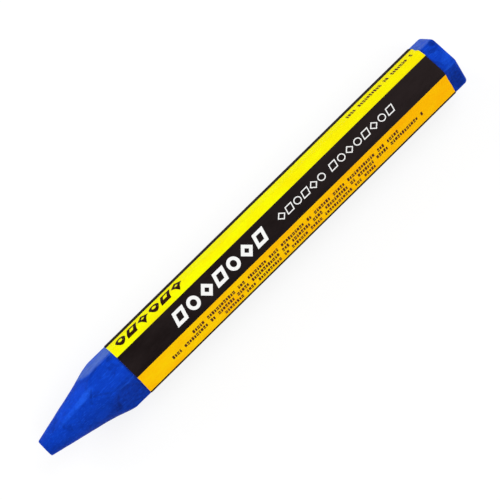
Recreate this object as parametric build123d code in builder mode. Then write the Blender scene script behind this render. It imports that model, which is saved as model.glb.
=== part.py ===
from build123d import *

import os
from math import cos, hypot, radians

# A hexagonal wax crayon with a glued paper wrapper, lying on one of its flats.
# Millimetres. +X runs from the marking tip to the butt and +Z is up. The origin is
# under the middle of the crayon, on the surface that it lies on.

# Wax stick
crayon_length = 120.65  # tip face to butt face
across_flats = 12.7  # bare wax, flat to flat
edge_radius = 0.6  # on the six long edges
butt_edge_radius = 0.45  # round the butt face

# Nose: a round taper with a flared shoulder that cuts scallops into the six flats
tip_diameter = 4.25  # blunt marking face
tip_edge_radius = 0.3  # round the marking face
taper_length = 14.2  # tip face to the start of the shoulder
shoulder_diameter = 10.95  # there
shoulder_blend = 40.0  # radius between the taper and the shoulder
nose_length = 21.3  # tip face to where the shoulder leaves the last long edge
nose_shift_y = 0.15  # the nose is pressed a little off the stick's axis
nose_shift_z = 0.6

# Paper wrapper
paper_thickness = 0.1
bare_band = 2.9  # full hexagon left bare between the nose and the paper
bare_butt = 4.0  # wax left bare at the butt
lap_width = 4.2  # where the paper lies double, on one lower flat
lap_ramp = 0.7  # where the outer layer comes down off the inner one's edge
lap_offset = 0.4  # from the middle of the flat to the middle of the lap

# Worked out
side_count = 6
flat_angle = 360 / side_count
lap_angle = -90 - flat_angle  # the lower flat on the -Y side
tip_x = -crayon_length / 2
axis_z = across_flats / 2 + paper_thickness
nose_z = axis_z + nose_shift_z
wrapper_x = tip_x + nose_length + bare_band
wrapper_length = crayon_length - nose_length - bare_band - bare_butt
corner_radius = (across_flats / 2 - edge_radius) / cos(radians(flat_angle / 2)) + edge_radius
nose_reach = corner_radius + hypot(nose_shift_y, nose_shift_z)
shoulder_slope = (nose_reach - shoulder_diameter / 2) / (nose_length - taper_length)
shoulder_run = crayon_length  # the shoulder's surface runs on past the whole stick


def cross_plane(x):
    """The plane across the crayon at x, its own x along +Y and its own y along +Z."""
    return Plane(origin=(x, 0, axis_z), x_dir=(0, 1, 0), z_dir=(1, 0, 0))


def rounded_hexagon(growth):
    """The stick's section, with flats at top and bottom, grown outwards by a layer."""
    with BuildSketch(mode=Mode.PRIVATE) as section:
        RegularPolygon(across_flats / 2 + growth, side_count, major_radius=False)
        fillet(section.vertices(), edge_radius + growth)
    return section.sketch


def lap_strip():
    """The doubled paper's section, out along +X from the flat, its cut edge at -Y."""
    cut_edge = lap_offset - lap_width / 2
    hidden_edge = lap_offset + lap_width / 2
    with BuildSketch(mode=Mode.PRIVATE) as section:
        with BuildLine():
            Polyline(
                (0, cut_edge),
                (2 * paper_thickness, cut_edge),
                (2 * paper_thickness, hidden_edge - lap_ramp),
                (paper_thickness, hidden_edge),
                (0, hidden_edge),
                close=True,
            )
        make_face()
    return section.sketch


# Wax stick: one pressed piece
with BuildPart() as wax_stick:
    with BuildSketch(cross_plane(tip_x)):
        add(rounded_hexagon(0))
    extrude(amount=crayon_length)
    butt_face = wax_stick.faces().sort_by(Axis.X)[-1]
    fillet(butt_face.edges(), min(butt_edge_radius, 0.8 * edge_radius))

    # The nose is turned about its own axis, and what lies inside it is kept
    nose_plane = Plane(origin=(tip_x, nose_shift_y, nose_z), x_dir=(1, 0, 0), z_dir=(0, -1, 0))
    with BuildSketch(nose_plane) as nose_profile:
        with BuildLine():
            Polyline(
                (0, 0),
                (0, tip_diameter / 2),
                (taper_length, shoulder_diameter / 2),
                (taper_length + shoulder_run, shoulder_diameter / 2 + shoulder_slope * shoulder_run),
                (taper_length + shoulder_run, 0),
                close=True,
            )
        make_face()
        tip_corners, shoulder_corner = nose_profile.vertices().group_by(Axis.X)[:2]
        fillet(shoulder_corner, shoulder_blend)
        fillet(tip_corners.sort_by(Axis.Y)[-1], tip_edge_radius)
    revolve(axis=Axis(nose_plane.origin, nose_plane.x_dir), mode=Mode.INTERSECT)
wax_stick.part.label = "wax_stick"

# Paper wrapper: one sheet folded round the flats and glued down over its own edge
with BuildPart() as paper_wrapper:
    with BuildSketch(cross_plane(wrapper_x)):
        add(rounded_hexagon(paper_thickness))
        with PolarLocations(across_flats / 2, 1, start_angle=lap_angle):
            add(lap_strip())
        add(rounded_hexagon(0), mode=Mode.SUBTRACT)
    extrude(amount=wrapper_length)
paper_wrapper.part.label = "paper_wrapper"

os.makedirs("parts", exist_ok=True)
export_step(wax_stick.part, "parts/wax_stick.step")
export_step(paper_wrapper.part, "parts/paper_wrapper.step")
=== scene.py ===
import math
from itertools import cycle

import bmesh
import bpy
from mathutils import Matrix, Vector


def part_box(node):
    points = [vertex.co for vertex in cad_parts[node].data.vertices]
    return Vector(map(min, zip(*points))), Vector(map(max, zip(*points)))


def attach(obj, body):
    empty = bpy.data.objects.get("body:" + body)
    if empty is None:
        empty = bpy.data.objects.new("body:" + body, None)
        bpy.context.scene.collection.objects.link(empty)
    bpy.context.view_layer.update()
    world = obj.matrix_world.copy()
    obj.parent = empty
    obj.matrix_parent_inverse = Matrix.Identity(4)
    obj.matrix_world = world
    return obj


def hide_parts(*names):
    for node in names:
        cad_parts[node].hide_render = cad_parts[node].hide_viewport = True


# A wax crayon in its paper wrapper, lying on one flat with its tip towards -X, in metres
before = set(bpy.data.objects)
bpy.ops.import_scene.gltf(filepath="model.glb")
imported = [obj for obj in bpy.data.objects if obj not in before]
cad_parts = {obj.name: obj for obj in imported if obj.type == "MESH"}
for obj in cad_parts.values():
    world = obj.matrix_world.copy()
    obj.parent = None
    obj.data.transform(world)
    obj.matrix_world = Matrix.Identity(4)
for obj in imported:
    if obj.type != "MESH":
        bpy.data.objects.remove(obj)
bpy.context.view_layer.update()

mm = 0.001
sides = 6
halfSide = math.pi / sides  # from the middle of a flat to a long edge
waxLow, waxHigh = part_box("wax_stick")
paperLow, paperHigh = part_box("paper_wrapper")
axisZ = (waxLow.z + waxHigh.z) / 2
waxFlats = waxHigh.z - waxLow.z
paperFlats = paperHigh.z - paperLow.z
paperThick = (paperFlats - waxFlats) / 2
printRise = 0.015 * mm  # of the print above the paper
sheetFlats = paperFlats - 2 * printRise  # so that the print keeps within the wrapper's size
topFlat, frontFlat, seamFlat, underFlat, lowBackFlat, backFlat = range(sides)


# Selects this piece and nothing else
def only(piece):
    bpy.ops.object.select_all(action="DESELECT")
    piece.select_set(True)
    bpy.context.view_layer.objects.active = piece


# Edit mode with only the parts that pass the test selected, kind being verts, edges or faces
def pick(piece, kind, test):
    only(piece)
    bpy.ops.object.mode_set(mode="EDIT")
    bpy.ops.mesh.select_mode(type={"verts": "VERT", "edges": "EDGE", "faces": "FACE"}[kind])
    bpy.ops.mesh.select_all(action="DESELECT")
    shape = bmesh.from_edit_mesh(piece.data)
    for part in getattr(shape, kind):
        if test(part):
            part.select_set(True)
    bmesh.update_edit_mesh(piece.data)


def pickAll(piece):
    pick(piece, "faces", lambda face: False)
    bpy.ops.mesh.select_all(action="SELECT")


def leaveEdit():
    bpy.ops.object.mode_set(mode="OBJECT")


def applyModifier(piece, kind, **settings):
    only(piece)
    modifier = piece.modifiers.new(kind.title(), kind)
    for key, value in settings.items():
        setattr(modifier, key, value)
    bpy.ops.object.modifier_apply(modifier=modifier.name)


# Moves the object to the origin and keeps its shape where it is
def placeInMesh(piece):
    only(piece)
    bpy.ops.object.transform_apply(location=True, rotation=True, scale=True)


def displace(piece, size, strength, level, **settings):
    clouds = bpy.data.textures.new("clouds", "CLOUDS")
    clouds.noise_scale = size
    clouds.noise_depth = 2
    applyModifier(piece, "DISPLACE", texture=clouds, texture_coords="LOCAL",
                  strength=strength, mid_level=level, **settings)


# Shallow uneven hollows, nowhere higher than the surface was
def pressInwards(piece, size, depth):
    displace(piece, size, depth, 1.0)


# Names what was just added
def nameIt(name):
    piece = bpy.context.object
    piece.name = name
    piece.data.name = name
    return piece


def middle(edge):
    return (edge.verts[0].co + edge.verts[1].co) / 2


def alongX(edge):
    span = edge.verts[1].co - edge.verts[0].co
    return abs(span.x) > 0.9 * span.length


# Outward and sideways directions of a flat
def flatAxes(flat):
    turn = math.pi / 2 + 2 * halfSide * flat
    out = Vector((0, math.cos(turn), math.sin(turn)))
    side = Vector((0, -math.sin(turn), math.cos(turn)))
    return out, side


# A point on the wrapper's flat, or above it, at a distance to the side of the flat's middle
def onFlat(flat, x, side, rise=0.0):
    out, across = flatAxes(flat)
    return Vector((x, 0, axisZ)) + out * (sheetFlats / 2 + rise) + across * side


def nearestFlat(point):
    turn = math.atan2(point.z - axisZ, point.y) - math.pi / 2
    return round(turn / (2 * halfSide)) % sides


# A material with these values on its shader, an underscore standing for a space
def newMaterial(name, **values):
    material = bpy.data.materials.new(name)
    material.use_nodes = True
    shader = material.node_tree.nodes["Principled BSDF"]
    for key, value in values.items():
        shader.inputs[key.replace("_", " ")].default_value = value
    return material


# A node with these settings, whose inputs take values or other nodes' outputs
def addNode(material, kind, inputs=None, **settings):
    node = material.node_tree.nodes.new(kind)
    for key, value in settings.items():
        setattr(node, key, value)
    for key, value in (inputs or {}).items():
        if isinstance(value, bpy.types.NodeSocket):
            material.node_tree.links.new(value, node.inputs[key])
        else:
            node.inputs[key].default_value = value
    return node


def objectPlace(material):
    return addNode(material, "ShaderNodeTexCoord").outputs["Object"]


# Noise from a row: scale along the stick, grain in metres, lowest and highest value, detail and
# roughness. A scale under 1 draws the grain out, and most of the raw noise lies within 0.3..0.7.
def noise(material, row):
    scaleX, size, low, high, detail, rough = row
    place = addNode(material, "ShaderNodeMapping",
                    {"Vector": objectPlace(material), "Scale": (scaleX, 1, 1)}).outputs[0]
    raw = addNode(material, "ShaderNodeTexNoise",
                  {"Vector": place, "Scale": 1 / size, "Detail": detail, "Roughness": rough})
    spread = addNode(material, "ShaderNodeMapRange",
                     {"Value": raw.outputs["Fac"], "From Min": 0.3, "From Max": 0.7,
                      "To Min": low, "To Max": high})
    return spread.outputs[0]


def mixColour(material, mask, first, second):
    factor, colourA, colourB, result = 0, 6, 7, 2  # of the node's sockets, those for colours
    mix = addNode(material, "ShaderNodeMix", {factor: mask, colourA: first, colourB: second},
                  data_type="RGBA")
    return mix.outputs[result]


# Lays a tone over what is there by a mask, which is held to 0..1 and weakened to a greatest share
def tint(material, body, mask, most, tone):
    weak = addNode(material, "ShaderNodeMapRange", {"Value": mask, "To Max": most}).outputs[0]
    return mixColour(material, weak, body, tone)


# Links an output to the shader
def feed(material, key, socket):
    shader = material.node_tree.nodes["Principled BSDF"]
    material.node_tree.links.new(socket, shader.inputs[key])


# A soft mark along a line from start to end, in mm, strongest in its middle and a little longer
def markMask(material, start, end, halfWidth):
    start, end = Vector(start) * mm, Vector(end) * mm
    span = end - start
    local = addNode(material, "ShaderNodeMapping", {
        "Vector": objectPlace(material),
        "Location": (start + end) / 2,
        "Rotation": span.to_track_quat("X", "Z").to_euler(),
        "Scale": (0.6 * span.length, halfWidth * mm, halfWidth * mm)}, vector_type="TEXTURE")
    return addNode(material, "ShaderNodeTexGradient", {"Vector": local.outputs[0]},
                   gradient_type="SPHERICAL").outputs["Fac"]


# A mask that turns from 0 at one value to 1 at the other
def ramp(material, value, zeroAt, oneAt):
    return addNode(material, "ShaderNodeMapRange",
                   {"Value": value, "From Min": zeroAt, "From Max": oneAt}).outputs[0]


def calculate(material, operation, *values):
    return addNode(material, "ShaderNodeMath", dict(enumerate(values)), operation=operation).outputs[0]


# Where two masks meet
def both(material, first, second):
    return calculate(material, "MULTIPLY", first, second)


def addBump(material, height, depth, strength):
    bump = addNode(material, "ShaderNodeBump",
                   {"Height": height, "Distance": depth, "Strength": strength})
    feed(material, "Normal", bump.outputs[0])


view = {
    "aim": Vector((0.43, -0.1, 6.45)) * mm,
    "toCamera": Vector((-0.1076, -0.249, 0.9625)).normalized(),
    "distance": 423.2 * mm,
    "angle": math.radians(14.46),
    "stickSlope": math.radians(44.48),  # of the stick in the picture
}


def makeCamera():
    towards = view["toCamera"]
    along = (Vector((1, 0, 0)) - towards * towards.x).normalized()
    across = towards.cross(along)
    right = along * math.cos(view["stickSlope"]) - across * math.sin(view["stickSlope"])
    up = towards.cross(right)
    camera = bpy.data.objects.new("camera", bpy.data.cameras.new("camera"))
    bpy.context.scene.collection.objects.link(camera)
    turn = Matrix((right, up, towards)).transposed().to_4x4()
    camera.matrix_world = Matrix.Translation(view["aim"] + towards * view["distance"]) @ turn
    camera.data.angle = view["angle"]
    camera.data.clip_start = 0.01
    bpy.context.scene.camera = camera
    print("camera placed")


studio = {
    "floorSize": 6.0,
    "floorDrop": 0.02 * mm,  # under the paper, so that the two don't share a plane
    "floorColour": (0.8, 0.8, 0.8, 1),
    "floorGlow": 0.8,  # what the camera and reflections see of it without any light
    "floorShade": (0.22, 0.22, 0.22, 1),  # and what the light and the shadow add
    "sky": 0.42,
    # strength, direction towards the lamp, and its spread in degrees
    "lamps": {
        "keyLight": (1.2, Vector((-0.39, 0.8, 0.42)), 22),
        "fillLight": (1.1, Vector((0.1, -0.68, 0.7)), 50),
        "backLight": (1.2, Vector((0.72, 0.12, 0.68)), 50),
    },
}


def makeFloor():
    bpy.ops.mesh.primitive_plane_add(size=studio["floorSize"],
                                     location=(0, 0, paperLow.z - studio["floorDrop"]))
    floor = nameIt("floor")
    placeInMesh(floor)
    paint = newMaterial("floorPaint", Base_Color=studio["floorColour"], Roughness=0.9)
    surface = paint.node_tree.nodes["Material Output"].inputs["Surface"]
    lit = paint.node_tree.nodes["Principled BSDF"].outputs[0]
    rays = addNode(paint, "ShaderNodeLightPath").outputs
    seen = calculate(paint, "MAXIMUM", rays["Is Camera Ray"], rays["Is Glossy Ray"])
    seen = calculate(paint, "MAXIMUM", seen, rays["Is Transmission Ray"])
    glow = addNode(paint, "ShaderNodeEmission", {"Strength": studio["floorGlow"]}).outputs[0]
    shade = addNode(paint, "ShaderNodeBsdfDiffuse", {"Color": studio["floorShade"]}).outputs[0]
    pale = addNode(paint, "ShaderNodeAddShader", {0: glow, 1: shade}).outputs[0]
    whole = addNode(paint, "ShaderNodeMixShader", {0: seen, 1: lit, 2: pale}).outputs[0]
    paint.node_tree.links.new(whole, surface)
    floor.data.materials.append(paint)


def makeLight():
    world = bpy.data.worlds.new("studioAir")
    world.use_nodes = True
    world.node_tree.nodes["Background"].inputs["Color"].default_value = (1, 1, 1, 1)
    world.node_tree.nodes["Background"].inputs["Strength"].default_value = studio["sky"]
    bpy.context.scene.world = world
    for name, (strength, towards, spread) in studio["lamps"].items():
        lamp = bpy.data.objects.new(name, bpy.data.lights.new(name, "SUN"))
        bpy.context.scene.collection.objects.link(lamp)
        lamp.rotation_euler = towards.to_track_quat("Z", "Y").to_euler()
        lamp.data.energy = strength
        lamp.data.angle = math.radians(spread)
    bpy.context.scene.view_settings.view_transform = "Standard"
    print("floor and light placed")


waxStick = {
    "edgeRound": 0.6 * mm,
    "edgeSteps": 4,
    "buttRound": 0.95 * mm,
    "buttSteps": 5,
    "tipWidth": 4.25 * mm,
    "tipRound": 0.24 * mm,
    "tipSteps": 3,
    "taperLength": 14.2 * mm,
    "taperSides": 160,
    "shoulderWidth": 10.95 * mm,
    "shoulderBlend": 1.8 * mm,  # half the length over which the taper turns into the shoulder
    "shoulderSteps": 6,
    "noseLength": 21.3 * mm,
    "noseShift": Vector((0, 0.15, 0.6)) * mm,
    "meshSize": 0.15 * mm,
    "softening": (0.5, 4),  # share of each smoothing of the edges, and how many
    "underPaper": 1.5 * mm,  # how far the fine mesh goes on under the paper
    "lumps": ((2.6 * mm, 0.075 * mm), (0.6 * mm, 0.02 * mm)),  # size and depth
    "tones": {
        "deep": (0.0018, 0.030, 0.36, 1),
        "body": (0.0027, 0.042, 0.46, 1),
        "light": (0.0038, 0.056, 0.56, 1),
        "bright": (0.004, 0.072, 0.73, 1),
        "pale": (0.013, 0.112, 0.80, 1),
        # a painted sheen, the reflection of the bright floor on the back flat
        "paintedSheen": (0.092, 0.19, 0.57, 1),
        "dark": (0.0022, 0.015, 0.15, 1),
    },
    # scale along the stick, grain, lowest and highest value, detail and roughness
    "patterns": {
        "cloud": (1, 3.6 * mm, 0, 1, 4, 0.6),
        "streak": (0.2, 0.6 * mm, 0, 1, 4, 0.6),
        "fleck": (1, 0.4 * mm, 0, 1, 3, 0.6),
        "smudge": (1, 2.1 * mm, -1.5, 1.2, 5, 0.65),
        "scratch": (0.1, 0.22 * mm, -2.2, 1.2, 2, 0.5),
        "breakUp": (1, 0.7 * mm, 0.25, 1, 4, 0.65),
        # breaks up the painted sheen
        "sheenPatches": (0.2, 1.4 * mm, 0.3, 1.05, 5, 0.65),
        "roughness": (1, 1.1 * mm, 0.42, 0.62, 4, 0.6),
    },
    # pattern, greatest share and tone, from the lowest layer up
    "layers": (
        ("streak", 0.55, "deep"),
        ("fleck", 0.45, "light"),
        ("smudge", 0.45, "dark"),
        ("scratch", 0.4, "pale"),
    ),
    # painted shade on the -Y side, darker towards -Y: where that starts and is full, and its greatest
    # share
    "sideShade": ((-1.0 * mm, -5.6 * mm, 0.55), (-3.4 * mm, -4.2 * mm, 0.35)),
    "paperShadow": (0.5 * mm, 0.1 * mm, 0.75),  # painted shadow next to the paper's ends: from those ends, in the same order
    # painted sheen on the back flat, thinner towards the butt
    "sheenDepth": (0.34 * mm, 0.14 * mm),  # under the back flat, where it starts and is full
    "sheenLength": (130 * mm, 10 * mm),  # along X, from none to full
    "sheenShare": 0.8,
    "edgeWearAndHighlight": (0.508, 0.54, 0.6),  # lighter on sharp edges, as wear and as a painted highlight: how sharp an edge is where that starts and is full, and share
    "grain": (0.02 * mm, 0.6),  # depth and strength
    "markEdge": 0.4,  # strength of a mark's mask from which the mark is full
    # lighter and darker places on the nose and the butt, rubbed and dirty ones and painted highlights
    # and sheen: tone, share, both ends and half width in mm
    "marks": (
        # a painted highlight streak down the taper, in these three
        ("bright", 0.7, (-45.0, 2.6, 12.3), (-54.5, 1.6, 10.5), 2.2),
        ("pale", 0.85, (-44.3, 0.9, 12.8), (-49.8, 0.6, 11.8), 0.95),
        ("pale", 0.55, (-45.2, 0.9, 12.7), (-55.0, 0.3, 10.2), 0.65),
        ("light", 0.6, (-44.0, -4.4, 11.0), (-48.5, -4.1, 9.4), 1.3),
        ("deep", 0.5, (-62.0, 0.2, 7.0), (-57.5, 0.2, 7.0), 5.0),
        ("dark", 0.35, (-61.0, -1.7, 8.2), (-54.0, -3.1, 8.8), 1.4),
        # a painted highlight along the fold
        ("pale", 0.45, (-37.4, -3.75, 12.6), (-40.9, -3.4, 12.7), 0.25),
        # painted sheen
        ("paintedSheen", 0.5, (-36.5, 5.1, 10.3), (-43.6, 4.1, 11.9), 0.35),
        ("light", 0.6, (-35.8, 6.8, 7.3), (-45.5, 6.6, 7.6), 1.9),
        ("dark", 0.45, (-38.2, -4.2, 12.0), (-41.5, -2.8, 12.7), 0.8),
        ("dark", 0.8, (-42.4, -5.0, 10.4), (-43.9, -5.9, 9.0), 1.0),
        ("dark", 0.6, (-41.3, -3.9, 12.2), (-43.0, -5.2, 10.1), 0.4),
        ("dark", 0.55, (-40.0, 3.6, 12.7), (-43.6, 2.8, 12.7), 0.4),
        ("dark", 0.5, (-45.8, -0.3, 12.6), (-41.0, -3.3, 12.7), 0.35),
        ("dark", 0.6, (-44.6, 0.9, 12.8), (-46.1, -0.6, 12.5), 0.3),
        ("dark", 0.6, (-36.6, 3.0, 12.8), (-38.4, 2.7, 12.8), 0.7),
        ("light", 0.7, (56.6, 4.9, 10.6), (60.4, 4.2, 11.8), 0.9),
        ("pale", 0.4, (57.9, -2.8, 12.8), (60.2, -0.8, 12.7), 1.3),
        # a painted highlight along the fold
        ("pale", 0.5, (56.3, -3.67, 12.6), (60.0, -3.67, 12.6), 0.3),
        ("dark", 0.85, (58.5, 3.2, 12.8), (60.3, 2.4, 12.6), 0.9),
        ("dark", 0.6, (57.0, 1.8, 12.8), (59.4, 1.1, 12.8), 0.6),
        ("dark", 0.5, (56.4, -0.2, 12.8), (57.4, -2.6, 12.8), 0.5),
        ("dark", 0.6, (58.1, -4.3, 11.6), (58.3, -7.0, 7.0), 2.0),
    ),
}


def makeHexagon(lowX, highX):
    bpy.ops.mesh.primitive_cylinder_add(
        vertices=sides, radius=waxFlats / 2 / math.cos(halfSide), depth=highX - lowX,
        location=((lowX + highX) / 2, 0, axisZ), rotation=(0, math.pi / 2, 0))
    stick = nameIt("waxStick")
    placeInMesh(stick)
    pick(stick, "edges", alongX)
    bpy.ops.mesh.bevel(offset=waxStick["edgeRound"] * math.tan(halfSide),
                       segments=waxStick["edgeSteps"])
    leaveEdit()
    return stick


def isRingAt(edge, x):
    return all(abs(vert.co.x - x) < 0.01 * mm for vert in edge.verts)


# What lies inside this round taper and its flared shoulder is kept of the stick
def makeNoseTool():
    nose = waxStick
    corner = (waxFlats / 2 - nose["edgeRound"]) / math.cos(halfSide) + nose["edgeRound"]
    reach = corner + nose["noseShift"].length
    slope = (reach - nose["shoulderWidth"] / 2) / (nose["noseLength"] - nose["taperLength"])
    run = waxHigh.x - waxLow.x
    growth = 1 + slope * run / (nose["shoulderWidth"] / 2)
    tip = Vector((waxLow.x, 0, axisZ)) + nose["noseShift"]
    shoulderX = tip.x + nose["taperLength"]
    bpy.ops.mesh.primitive_cone_add(
        vertices=nose["taperSides"], radius1=nose["tipWidth"] / 2, radius2=nose["shoulderWidth"] / 2,
        depth=nose["taperLength"], location=tip + Vector((nose["taperLength"] / 2, 0, 0)),
        rotation=(0, math.pi / 2, 0))
    tool = nameIt("noseTool")
    placeInMesh(tool)
    pick(tool, "faces", lambda face: face.normal.x > 0.99)
    bpy.ops.mesh.extrude_region_move(TRANSFORM_OT_translate={"value": (run, 0, 0)})
    bpy.ops.transform.resize(value=(1, growth, growth), center_override=(shoulderX + run, tip.y, tip.z))
    leaveEdit()
    pick(tool, "edges", lambda edge: isRingAt(edge, shoulderX))
    bpy.ops.mesh.bevel(offset=nose["shoulderBlend"], segments=nose["shoulderSteps"])
    leaveEdit()
    pick(tool, "edges", lambda edge: isRingAt(edge, tip.x))
    bpy.ops.mesh.bevel(offset=nose["tipRound"], segments=nose["tipSteps"])
    leaveEdit()
    return tool


def makeWaxStick():
    stick = makeHexagon(waxLow.x, waxHigh.x - waxStick["buttRound"])
    roundButt(stick)
    tool = makeNoseTool()
    applyModifier(stick, "BOOLEAN", operation="INTERSECT", object=tool, solver="EXACT")
    bpy.data.objects.remove(tool)

    # A fine even mesh, whose edges soften as worn wax does
    applyModifier(stick, "REMESH", mode="VOXEL", voxel_size=waxStick["meshSize"])
    factor, times = waxStick["softening"]
    applyModifier(stick, "SMOOTH", factor=factor, iterations=times)
    removeHiddenMesh(stick)

    for size, depth in waxStick["lumps"]:
        pressInwards(stick, size, depth)
    bpy.ops.object.shade_smooth()
    stick.data.materials.clear()
    stick.data.materials.append(makeWaxMaterial())
    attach(stick, "root")
    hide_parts("wax_stick")
    print("wax stick:", len(stick.data.polygons), "faces")


# The butt is drawn out in steps that narrow along a quarter circle
def roundButt(stick):
    radius, steps = waxStick["buttRound"], waxStick["buttSteps"]
    end = waxHigh.x - radius
    width = waxFlats
    pick(stick, "faces", lambda face: face.normal.x > 0.99)
    for step in range(1, steps + 1):
        turn = math.pi / 2 * step / steps
        nextEnd = waxHigh.x - radius * (1 - math.sin(turn))
        nextWidth = waxFlats - 2 * radius * (1 - math.cos(turn))
        bpy.ops.mesh.extrude_region_move(TRANSFORM_OT_translate={"value": (nextEnd - end, 0, 0)})
        bpy.ops.transform.resize(value=(1, nextWidth / width, nextWidth / width),
                                 center_override=(nextEnd, 0, axisZ))
        end, width = nextEnd, nextWidth
    leaveEdit()


# The stretch inside the wrapper keeps only long plain faces
def removeHiddenMesh(stick):
    lowCut = paperLow.x + waxStick["underPaper"]
    highCut = paperHigh.x - waxStick["underPaper"]
    for cut in (lowCut, highCut):
        pickAll(stick)
        bpy.ops.mesh.bisect(plane_co=(cut, 0, 0), plane_no=(1, 0, 0))
        leaveEdit()
    pick(stick, "faces", lambda face: lowCut < face.calc_center_median().x < highCut)
    bpy.ops.mesh.delete(type="FACE")
    leaveEdit()
    pick(stick, "edges", lambda edge: edge.is_boundary)
    bpy.ops.mesh.bridge_edge_loops()
    leaveEdit()


def makeWaxMaterial():
    wax = newMaterial("blueWax", Roughness=0.5, IOR=1.45, Specular_IOR_Level=0.03,
                      Subsurface_Weight=0.1, Subsurface_Scale=0.6 * mm)
    wax.node_tree.nodes["Principled BSDF"].inputs["Subsurface Radius"].default_value = (0.3, 0.5, 1)
    tones = waxStick["tones"]
    pattern = {name: noise(wax, row) for name, row in waxStick["patterns"].items()}
    body = mixColour(wax, pattern["cloud"], tones["body"], tones["light"])
    for name, most, tone in waxStick["layers"]:
        body = tint(wax, body, pattern[name], most, tones[tone])

    # Painted shade on the -Y side, and painted shadow where the wax meets the paper's ends
    place = addNode(wax, "ShaderNodeSeparateXYZ", {0: objectPlace(wax)}).outputs
    for zeroAt, fullAt, most in waxStick["sideShade"]:
        sideShade = both(wax, ramp(wax, place["Y"], zeroAt, fullAt), pattern["breakUp"])
        body = tint(wax, body, sideShade, most, tones["dark"])
    # Painted shadow on the wax next to the paper's ends
    fromMiddle = calculate(wax, "SUBTRACT", place["X"], (paperLow.x + paperHigh.x) / 2)
    fromMiddle = calculate(wax, "ABSOLUTE", fromMiddle)
    halfPaper = (paperHigh.x - paperLow.x) / 2
    zeroAt, fullAt, most = waxStick["paperShadow"]
    paperShadow = ramp(wax, fromMiddle, halfPaper + zeroAt, halfPaper + fullAt)
    body = tint(wax, body, both(wax, paperShadow, pattern["breakUp"]), most, tones["dark"])

    # Painted sheen, a reflection of the bright floor, over what is left of one flat, thinner at the butt
    out = flatAxes(backFlat)[0]
    reach = addNode(wax, "ShaderNodeVectorMath", {0: objectPlace(wax), 1: out},
                    operation="DOT_PRODUCT").outputs["Value"]
    surface = axisZ * out.z + waxFlats / 2
    zeroAt, fullAt = waxStick["sheenDepth"]
    paintedSheen = ramp(wax, reach, surface - zeroAt, surface - fullAt)
    paintedSheen = both(wax, paintedSheen, pattern["sheenPatches"])
    paintedSheen = both(wax, paintedSheen, ramp(wax, place["X"], *waxStick["sheenLength"]))
    body = tint(wax, body, paintedSheen, waxStick["sheenShare"], tones["paintedSheen"])

    # Lighter on sharp edges: wear, and a painted highlight on the folds
    sharp = addNode(wax, "ShaderNodeNewGeometry").outputs["Pointiness"]
    zeroAt, fullAt, most = waxStick["edgeWearAndHighlight"]
    wearAndHighlight = both(wax, ramp(wax, sharp, zeroAt, fullAt), pattern["breakUp"])
    body = tint(wax, body, wearAndHighlight, most, tones["pale"])
    # Marks: rubbed and dirty places, painted highlights along the taper and folds, and painted sheen
    for tone, most, start, end, halfWidth in waxStick["marks"]:
        mark = ramp(wax, markMask(wax, start, end, halfWidth), 0, waxStick["markEdge"])
        body = tint(wax, body, both(wax, mark, pattern["breakUp"]), most, tones[tone])
    feed(wax, "Base Color", body)
    feed(wax, "Roughness", pattern["roughness"])
    addBump(wax, calculate(wax, "ADD", pattern["streak"], pattern["fleck"]), *waxStick["grain"])
    return wax


wrapper = {
    "edgeRound": 0.7 * mm,
    "roundSteps": 5,
    "lap": (-1.7 * mm, 1.8 * mm, 2.5 * mm),  # cut edge, top of the ramp, its foot
    "alongCuts": 80,
    "acrossCuts": 5,  # of each flat
    "waves": (10 * mm, 0.05 * mm),  # size and depth
    "endWander": (2.2 * mm, 0.2 * mm),  # how the cut ends wander along the stick: size and reach
    "endSlant": math.radians(-1.2),  # of the cut at the nose
    "endTuck": (Vector((56.2, 4.4, 11.7)) * mm, -0.3 * mm, 3 * mm),  # a short corner: place, tuck, reach
    # where each ink starts, counted round from the top: flat, place from its middle and ink
    "borders": (
        (topFlat, -1.77 * mm, "blackInk"),
        # the golden band on the front flat is painted shade: the yellow ink as it looks in shade
        (frontFlat, -2.72 * mm, "shadedYellowInk"),
        (frontFlat, 3.07 * mm, "blackInk"),
        (underFlat, -2.9 * mm, "yellowInk"),
        (lowBackFlat, -2.4 * mm, "blackInk"),
        (backFlat, -1.13 * mm, "yellowInk"),
    ),
    # colour, the tone that it is mottled with, and how far it nears that tone towards the butt, painted
    # light and shade along the stick
    "inks": {
        "yellowInk": ((0.88, 0.96, 0.002), (0.88, 0.69, 0.002), 0.6),
        "blackInk": ((0.009, 0.006, 0.006), (0.021, 0.015, 0.015), 0.8),
        # painted shade: the yellow ink as it looks on the shaded front flat
        "shadedYellowInk": ((1.0, 0.66, 0.002), (1.0, 0.4, 0.001), 0.45),
    },
    "buttShadingSpan": (0, 60 * mm),  # of the painted light and shade towards the butt: where it starts and is full
    # scale along the stick, grain, lowest and highest value, detail and roughness
    "patterns": {
        "cloud": (0.4, 3.4 * mm, -0.2, 1, 4, 0.6),
        "fibre": (0.35, 0.35 * mm, 0, 1, 4, 0.65),
        # breaks up the painted light and shade towards the butt
        "buttShading": (0.35, 1.3 * mm, 0.6, 1.4, 4, 0.65),
        "roughness": (1, 0.8 * mm, 0.42, 0.6, 3, 0.5),
        "tooth": (0.35, 0.12 * mm, 0, 1, 3, 0.6),
    },
    "layers": (("cloud", 0.6), ("fibre", 0.35)),  # pattern and greatest share of the mottling
    "tooth": (0.006 * mm, 0.5),  # depth and strength
    "cutPaper": ((0.72, 0.68, 0.6, 1), (0.82, 0.79, 0.72, 1)),  # tones of the bare paper
    "cutFibre": (1, 0.15 * mm, 0, 1, 3, 0.5),  # and their pattern
    "fill": 0.96,  # share of the paper's thickness that the sheet takes up
    "sharpFrom": math.radians(25),  # folds sharper than this aren't shaded smooth
}


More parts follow.
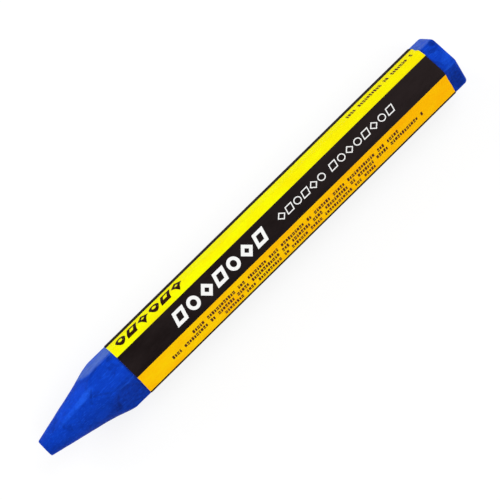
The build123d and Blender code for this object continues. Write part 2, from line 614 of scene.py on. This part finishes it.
# The sheet's section: a rounded hexagon, open on the seam flat, where it laps over itself
def makeSheetOutline():
    bpy.ops.mesh.primitive_circle_add(
        vertices=sides, radius=sheetFlats / 2 / math.cos(halfSide), fill_type="NGON",
        location=(paperLow.x, 0, axisZ), rotation=(0, math.pi / 2, 0))
    sheet = nameIt("paperWrapper")
    placeInMesh(sheet)
    pickAll(sheet)
    bpy.ops.mesh.bevel(offset=wrapper["edgeRound"] * math.tan(halfSide),
                       segments=wrapper["roundSteps"], affect="VERTICES")
    bpy.ops.mesh.delete(type="ONLY_FACE")
    leaveEdit()
    seamMiddle = onFlat(seamFlat, paperLow.x, 0)
    pick(sheet, "edges", lambda edge: (middle(edge) - seamMiddle).length < 0.5 * mm)
    bpy.ops.mesh.delete(type="EDGE")
    leaveEdit()

    cutEdge, rampTop, rampFoot = wrapper["lap"]
    side = flatAxes(seamFlat)[1]
    halfFlat = (sheetFlats / 2 - wrapper["edgeRound"]) * math.tan(halfSide)
    extendFrom(sheet, onFlat(seamFlat, paperLow.x, -halfFlat), [onFlat(seamFlat, paperLow.x, rampTop)])
    extendFrom(sheet, onFlat(seamFlat, paperLow.x, halfFlat), [
        onFlat(seamFlat, paperLow.x, rampFoot),
        onFlat(seamFlat, paperLow.x, rampTop, paperThick),
        onFlat(seamFlat, paperLow.x, cutEdge, paperThick),
    ])
    pick(sheet, "edges", lambda edge: edge.calc_length() > 3 * wrapper["edgeRound"])
    bpy.ops.mesh.subdivide(number_cuts=wrapper["acrossCuts"])
    leaveEdit()
    return sheet


def extendFrom(sheet, start, stops):
    pick(sheet, "verts", lambda vert: (vert.co - start).length < 0.05 * mm)
    for stop in stops:
        bpy.ops.mesh.extrude_region_move(TRANSFORM_OT_translate={"value": stop - start})
        start = stop
    leaveEdit()


def makePaperWrapper():
    sheet = makeSheetOutline()
    pick(sheet, "edges", lambda edge: True)
    bpy.ops.mesh.extrude_region_move(
        TRANSFORM_OT_translate={"value": (paperHigh.x - paperLow.x, 0, 0)})
    leaveEdit()
    if sum(face.normal.z for face in sheet.data.polygons if face.center.z > axisZ) < 0:
        pickAll(sheet)
        bpy.ops.mesh.flip_normals()
        leaveEdit()

    for flat, place, ink in wrapper["borders"]:
        pick(sheet, "faces", lambda face: isOnFlat(face, flat))
        bpy.ops.mesh.bisect(plane_co=onFlat(flat, 0, place), plane_no=flatAxes(flat)[1])
        leaveEdit()
    pick(sheet, "edges", alongX)
    bpy.ops.mesh.subdivide(number_cuts=wrapper["alongCuts"])
    leaveEdit()

    inks = list(wrapper["inks"])
    for ink in inks:
        sheet.data.materials.append(makeInkMaterial(ink, *wrapper["inks"][ink]))
    sheet.data.materials.append(makePaperMaterial())
    for face in sheet.data.polygons:
        face.material_index = inks.index(inkAt(face.center))

    pressInwards(sheet, *wrapper["waves"])
    cutEnds(sheet)

    applyModifier(sheet, "SOLIDIFY", thickness=wrapper["fill"] * paperThick, offset=-1.0,
                  use_rim=True, material_offset=len(inks), material_offset_rim=len(inks))
    only(sheet)
    bpy.ops.object.shade_smooth_by_angle(angle=wrapper["sharpFrom"])
    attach(sheet, "root")
    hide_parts("paper_wrapper")
    print("paper wrapper:", len(sheet.data.polygons), "faces")


# The cut ends wander, the one at the nose is slanted, and a corner at the butt is short
def cutEnds(sheet):
    size, reach = wrapper["endWander"]
    pick(sheet, "verts", lambda vert: min(abs(vert.co.x - end) for end in (paperLow.x, paperHigh.x))
         < 0.1 * mm)
    bpy.ops.object.vertex_group_add()
    bpy.ops.object.vertex_group_assign()
    leaveEdit()
    displace(sheet, size, reach, 0.5, direction="X", vertex_group=sheet.vertex_groups[0].name)
    bpy.ops.object.vertex_group_remove(all=True)

    pick(sheet, "verts", lambda vert: vert.co.x < paperLow.x + 0.5 * mm)
    bpy.ops.transform.rotate(value=wrapper["endSlant"], orient_axis="Z",
                             center_override=(paperLow.x, -1.5 * mm, axisZ))
    leaveEdit()
    corner, tuck, spread = wrapper["endTuck"]
    pick(sheet, "verts", lambda vert: (vert.co - corner).length < 0.8 * mm)
    bpy.ops.transform.translate(value=(tuck, 0, 0), use_proportional_edit=True,
                                proportional_edit_falloff="SMOOTH", proportional_size=spread)
    leaveEdit()


def isOnFlat(face, flat):
    out = flatAxes(flat)[0]
    return face.normal.dot(out) > 0.999


# The colour at a place round the wrapper, counted from the top flat
def inkAt(point):
    flat = nearestFlat(point)
    side = (point - Vector((0, 0, axisZ))).dot(flatAxes(flat)[1])
    ink = "yellowInk"
    for borderFlat, place, nextInk in wrapper["borders"]:
        if (flat, side) > (borderFlat, place):
            ink = nextInk
    return ink


def makeInkMaterial(name, colour, mottle, buttShading=0.0):
    ink = newMaterial(name, Roughness=0.5, IOR=1.1, Specular_IOR_Level=0.08)
    pattern = {key: noise(ink, row) for key, row in wrapper["patterns"].items()}
    body = colour + (1,)
    for key, most in wrapper["layers"]:
        body = tint(ink, body, pattern[key], most, mottle + (1,))
    # Painted light and shade: each ink nears its mottling tone towards the butt
    x = addNode(ink, "ShaderNodeSeparateXYZ", {0: objectPlace(ink)}).outputs["X"]
    buttShadingMask = both(ink, ramp(ink, x, *wrapper["buttShadingSpan"]), pattern["buttShading"])
    feed(ink, "Base Color", tint(ink, body, buttShadingMask, buttShading, mottle + (1,)))
    feed(ink, "Roughness", pattern["roughness"])
    addBump(ink, pattern["tooth"], *wrapper["tooth"])
    return ink


def makePaperMaterial():
    paper = newMaterial("paperEdge", Roughness=0.8)
    fibre = noise(paper, wrapper["cutFibre"])
    feed(paper, "Base Color", mixColour(paper, fibre, *wrapper["cutPaper"]))
    return paper


printing = {
    "depth": 0.03 * mm,  # from the face of the print down into the paper
    # corners, distance of a corner from the middle for a shape one unit wide, and turn
    "shapes": {
        "disc": (40, 0.5, 0),
        "diamond": (4, 0.57, 0),
        "block": (4, math.sqrt(0.5), 45),
    },
    "lean": 0.3,  # of the blocks, for each unit of height
    # ink colours, each with the tone that it is mottled with
    "white": ((0.9, 0.9, 0.89), (0.82, 0.82, 0.8)),
    "dark": ((0.018, 0.005, 0.004), (0.038, 0.012, 0.007)),
    "brown": ((0.075, 0.023, 0.012), (0.13, 0.042, 0.02)),
}
# flat, place to the side of its middle, width and height of a shape, thickness of its line, and
# rows of first place, step and shapes
boldPrint = {
    "flat": topFlat,
    "side": 1.35 * mm,
    "size": (3.05 * mm, 3.2 * mm),
    "line": 0.78 * mm,
    "rows": ((-20.6 * mm, 3.95 * mm, ("block", "disc", "diamond", "block", "disc", "diamond",
                                     "block")),),
}
linePrint = {
    "flat": topFlat,
    "side": 1.3 * mm,
    "size": (1.9 * mm, 1.75 * mm),
    "line": 0.23 * mm,
    "rows": (
        (9.6 * mm, 2.4 * mm, ("diamond", "block", "disc", "block", "diamond", "disc")),
        (25.1 * mm, 2.46 * mm, ("block", "disc", "diamond", "disc", "block", "diamond", "disc",
                                "block")),
    ),
}
# On the back flat and over the fold to the top one, where it is cut to bend
darkPrint = {
    "flat": backFlat + 0.5,
    "side": -1.0 * mm,
    "size": (2.7 * mm, 3.3 * mm),
    "line": 0.8 * mm,
    "bends": (0.5 * mm, 9),  # how far the cuts reach from the fold, and how many
    "rows": ((-33.1 * mm, 3.3 * mm, ("disc", "block", "diamond") * 2),),
}
finePrint = {
    # width in mm of each mark, and its bars from foot to head as shares of the row's height
    "marks": (
        (0.5, ((0, 1),)),
        (0.4, ((0, 0.85),)),
        (0.6, ((0, 0.38), (0.52, 0.9))),
        (0.38, ((0, 0.68), (0.8, 1))),
        (0.56, ((0.08, 0.92),)),
        (0.5, ((0, 0.32), (0.46, 1))),
        (0.44, ((0.1, 0.9),)),
    ),
    "words": (5, 12, 3, 8, 4, 10, 2, 7),  # marks in a word
    "gap": 0.2 * mm,
    "space": 0.9 * mm,
    # side, height, start and end of each row
    "frontRows": (
        (-0.72 * mm, 0.95 * mm, -21 * mm, 41 * mm),
        (0.63 * mm, 0.95 * mm, -27.8 * mm, 47.6 * mm),
        (2.0 * mm, 0.85 * mm, -13 * mm, 33 * mm),
    ),
    "backRows": (
        (2.2 * mm, 2.1 * mm, 34.9 * mm, 54.9 * mm),
    ),
}


# A flat shape, drawn round x with y away from the side that the flats are counted towards
def addShape(shape, x, side, width, height):
    corners, reach, turn = printing["shapes"][shape]
    bpy.ops.mesh.primitive_circle_add(
        vertices=corners, radius=reach, fill_type="NGON", location=(x, -side, 0),
        rotation=(0, 0, math.radians(turn)))
    piece = bpy.context.object
    placeInMesh(piece)
    pickAll(piece)
    bpy.ops.transform.resize(value=(width, height, 1), center_override=(x, -side, 0))
    leaveEdit()
    if shape == "block":
        pick(piece, "verts", lambda vert: vert.co.y > -side)
        bpy.ops.transform.translate(value=(printing["lean"] * height / 2, 0, 0))
        leaveEdit()
        pick(piece, "verts", lambda vert: vert.co.y < -side)
        bpy.ops.transform.translate(value=(-printing["lean"] * height / 2, 0, 0))
        leaveEdit()
    return piece


# Leaves only a line round the shape's edge
def hollowOut(piece, line):
    pickAll(piece)
    bpy.ops.mesh.inset(thickness=line)
    bpy.ops.mesh.delete(type="FACE")
    leaveEdit()


def addStroke(x, side, width, height):
    bpy.ops.mesh.primitive_plane_add(size=1, location=(x, -side, 0))
    bpy.context.object.scale = (width, height, 1)
    return bpy.context.object


# A row of words made of short broken bars, which takes up the marks and words where the last left off
def addFineRow(marks, words, side, height, start, end):
    strokes = []
    x = start
    while x < end:
        for spot in range(next(words)):
            width, bars = next(marks)
            width *= mm
            if x + width > end:
                break
            for low, high in bars:
                place = side + height * (0.5 - (low + high) / 2)
                strokes.append(addStroke(x + width / 2, place, width, height * (high - low)))
            x += width + finePrint["gap"]
        x += finePrint["space"]
    return strokes


# Joins flat shapes, drops them onto the paper and gives them their thickness
def finishPrint(name, shapes, flat, ink, bends=(0, 0)):
    bpy.ops.object.select_all(action="DESELECT")
    for shape in shapes:
        shape.select_set(True)
    bpy.context.view_layer.objects.active = shapes[0]
    bpy.ops.object.join()
    piece = nameIt(name)
    placeInMesh(piece)
    pickAll(piece)
    bpy.ops.mesh.normals_make_consistent(inside=False)
    leaveEdit()
    if piece.data.polygons[0].normal.z < 0:  # the print faces away from the paper
        pickAll(piece)
        bpy.ops.mesh.flip_normals()
        leaveEdit()

    reach, cuts = bends
    for cut in range(cuts):
        pickAll(piece)
        bpy.ops.mesh.bisect(plane_co=(0, reach * (2 * cut / (cuts - 1) - 1), 0), plane_no=(0, 1, 0))
        leaveEdit()

    over = Vector((0, 0, axisZ)) + flatAxes(flat)[0] * paperFlats
    piece.matrix_world = Matrix.Translation(over) @ Matrix.Rotation(2 * halfSide * flat, 4, "X")
    applyModifier(piece, "SHRINKWRAP", target=bpy.data.objects["paperWrapper"],
                  wrap_method="PROJECT", use_project_z=True, use_negative_direction=True,
                  use_positive_direction=False, wrap_mode="ABOVE_SURFACE",
                  offset=printRise)
    applyModifier(piece, "SOLIDIFY", thickness=printing["depth"], offset=-1.0)
    placeInMesh(piece)
    piece.data.materials.clear()
    piece.data.materials.append(ink)
    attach(piece, "root")
    print(name + ":", len(piece.data.polygons), "faces")


def makePrint():
    white = makeInkMaterial("whiteInk", *printing["white"])
    dark = makeInkMaterial("darkInk", *printing["dark"])
    brown = makeInkMaterial("brownInk", *printing["brown"])
    for name, design, ink in (("boldPrint", boldPrint, white), ("linePrint", linePrint, white),
                              ("darkPrint", darkPrint, dark)):
        shapes = []
        for first, step, row in design["rows"]:
            for spot, shape in enumerate(row):
                shapes.append(addShape(shape, first + step * spot, design["side"], *design["size"]))
                hollowOut(shapes[-1], design["line"])
        finishPrint(name, shapes, design["flat"], ink, design.get("bends", (0, 0)))
    marks, words = cycle(finePrint["marks"]), cycle(finePrint["words"])
    for name, rows, flat in (("frontFinePrint", "frontRows", frontFlat),
                             ("backFinePrint", "backRows", backFlat)):
        strokes = [stroke for row in finePrint[rows] for stroke in addFineRow(marks, words, *row)]
        finishPrint(name, strokes, flat, brown)


makeCamera()
makeFloor()
makeLight()
makeWaxStick()
makePaperWrapper()
makePrint()
